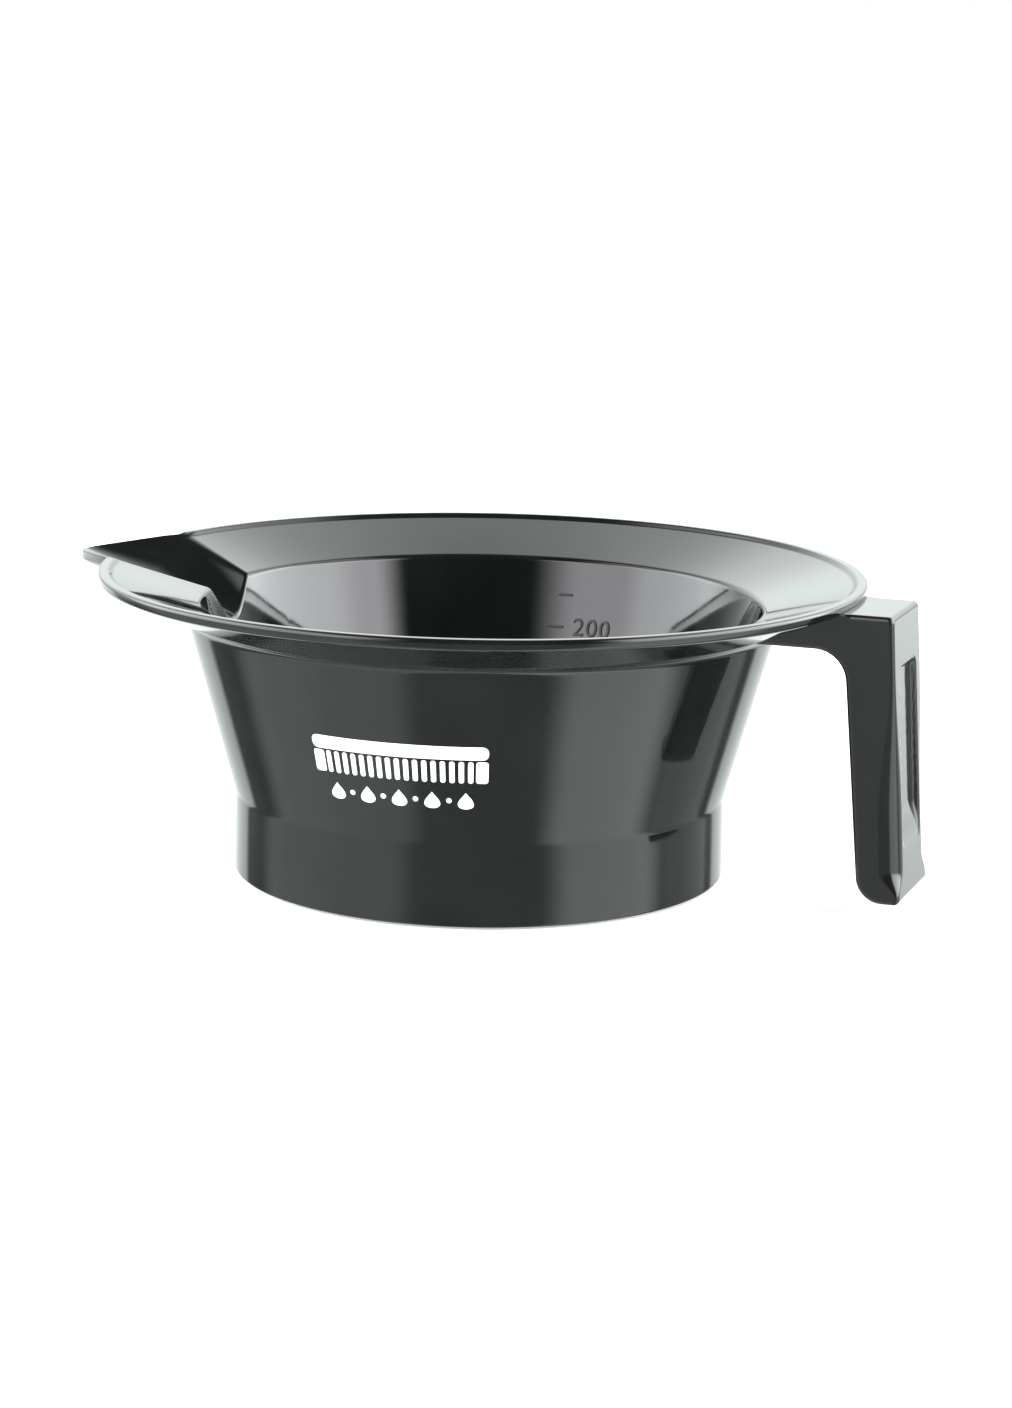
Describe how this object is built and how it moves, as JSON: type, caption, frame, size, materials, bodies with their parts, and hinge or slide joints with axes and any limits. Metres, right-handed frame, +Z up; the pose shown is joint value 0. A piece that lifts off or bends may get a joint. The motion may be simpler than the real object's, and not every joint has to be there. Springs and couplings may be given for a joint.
{
  "type": "hair colour bowl",
  "caption": "Round black mixing bowl for hair colour, with a flared rim, a pouring spout, a side handle that hangs beside it and a rubber ring under its foot.",
  "frame": {"origin": "on the bowl's axis at the surface it stands on, within a millimetre of the middle of its footprint box", "axes": "+Z up along the bowl's axis, +X towards the handle, the spout is on -X"},
  "size_m": [0.1677, 0.1438, 0.0572],
  "materials": {
    "moulded_plastic": "glossy injection moulded, slightly green black",
    "handle_plastic": "glossy injection moulded, slightly green black",
    "ring_rubber": "matt",
    "white_print": "satin printed ink",
    "scale_relief": "fine spark-eroded texture on the raised marks"
  },
  "bodies": {
    "root": {"bowl_shell": "moulded_plastic", "handle": "handle_plastic", "anti_slip_ring": "ring_rubber"}
  },
  "joints": []
}
